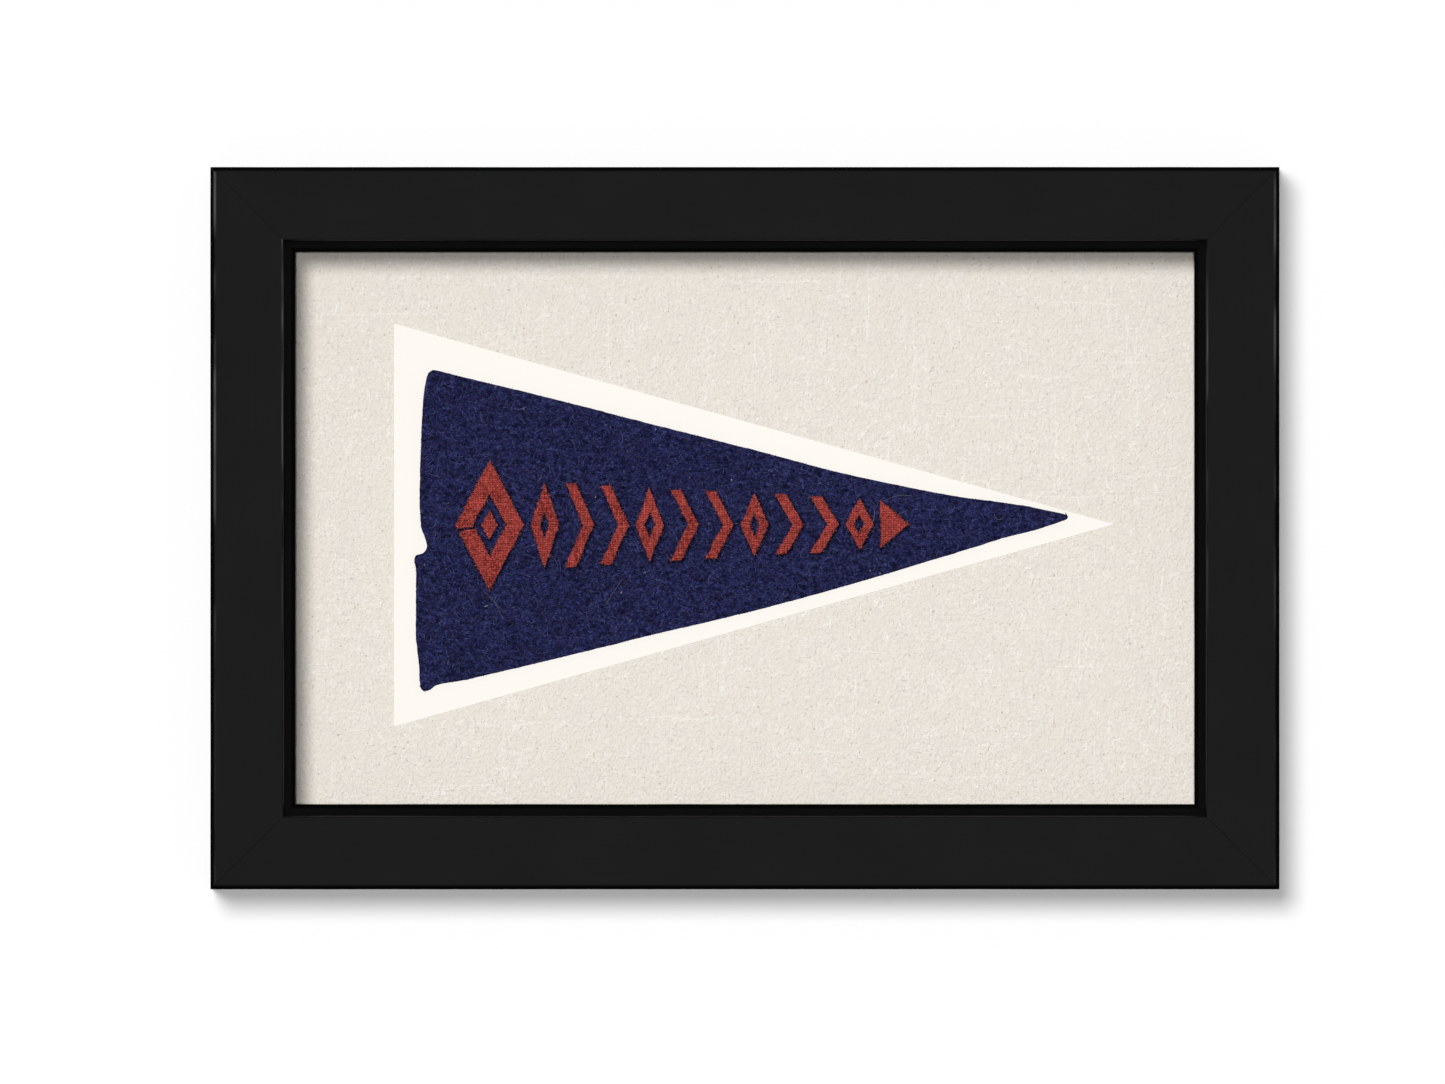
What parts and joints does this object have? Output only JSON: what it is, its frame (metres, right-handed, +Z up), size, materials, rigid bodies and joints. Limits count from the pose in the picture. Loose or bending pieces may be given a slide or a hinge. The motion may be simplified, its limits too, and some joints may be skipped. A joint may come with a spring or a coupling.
{
  "type": "felt pennant flag in a picture frame",
  "caption": "Worn felt pennant with sewn-on cloth patches, laid on card and linen in a mitred black picture frame that hangs on a wall.",
  "frame": {"origin": "middle of the top rail's back face, on the wall plane", "axes": "+Z up, -Y out of the picture towards the viewer, +Y into the wall, +X to the viewer's right, towards the pennant's tip"},
  "size_m": [0.3736, 0.03, 0.2525],
  "materials": {
    "black_painted_wood": "satin black paint, a little worn at its edges",
    "grey_board": "plain recycled board",
    "natural_linen": "slubby plain-woven linen, off-white",
    "cream_card": "smooth matt card",
    "navy_felt": "wool felt, mottled and linty with age",
    "red_cloth": "brick-red plain-woven cloth, raw cut edges"
  },
  "bodies": {
    "root": {"frame_top": "black_painted_wood", "frame_bottom": "black_painted_wood", "frame_left": "black_painted_wood", "frame_right": "black_painted_wood", "mount_board": "grey_board", "linen_ground": "natural_linen", "card_triangle": "cream_card", "felt_pennant": "navy_felt", "patch_large_ring": "red_cloth", "patch_large_middle": "red_cloth", "patch_row_01": "red_cloth", "patch_row_02": "red_cloth", "patch_row_03": "red_cloth", "patch_row_04": "red_cloth", "patch_row_05": "red_cloth", "patch_row_06": "red_cloth", "patch_row_07": "red_cloth", "patch_row_08": "red_cloth", "patch_row_09": "red_cloth", "patch_row_10": "red_cloth", "patch_row_11": "red_cloth"}
  },
  "joints": []
}
